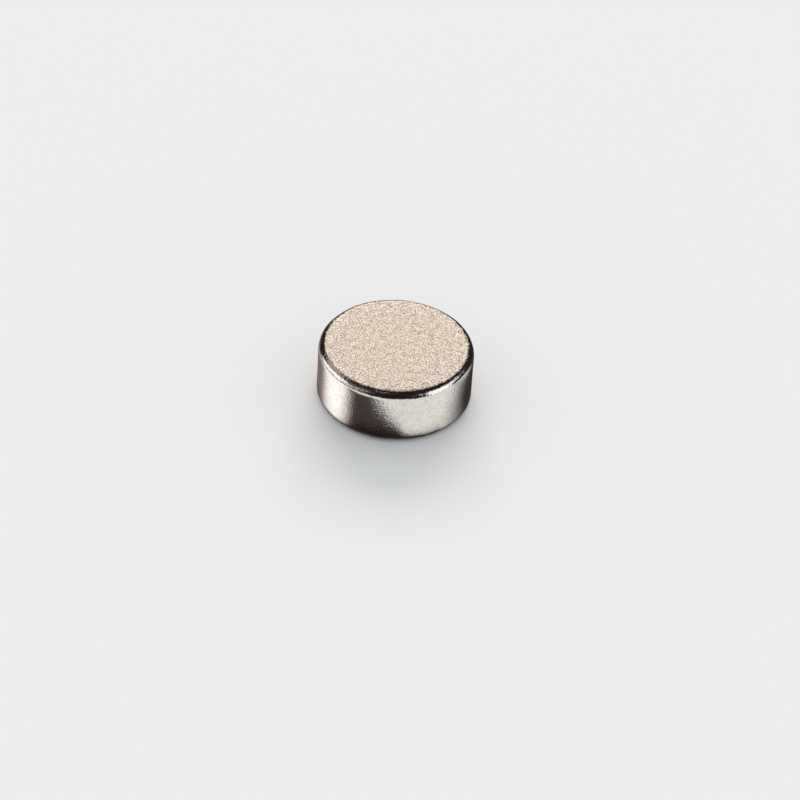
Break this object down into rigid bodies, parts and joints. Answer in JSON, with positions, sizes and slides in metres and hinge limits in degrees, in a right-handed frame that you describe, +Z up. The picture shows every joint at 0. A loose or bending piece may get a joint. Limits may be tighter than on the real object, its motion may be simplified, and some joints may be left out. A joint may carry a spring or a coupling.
{
  "type": "disc magnet",
  "caption": "Small flat cylinder magnet: a plated puck with two round pole faces, a straight ground wall and softly rounded edges.",
  "frame": {"origin": "centre of the lower pole face, which rests on the surface", "axes": "+Z up along the magnet's axis, towards the upper pole face; X and Y are any two square radial directions"},
  "size_m": [0.005, 0.005, 0.002],
  "materials": {
    "nickel_plating": "fine-grained satin nickel plating, slightly warm, glossier on the rounded edges"
  },
  "bodies": {
    "root": {"magnet": "nickel_plating"}
  },
  "joints": []
}
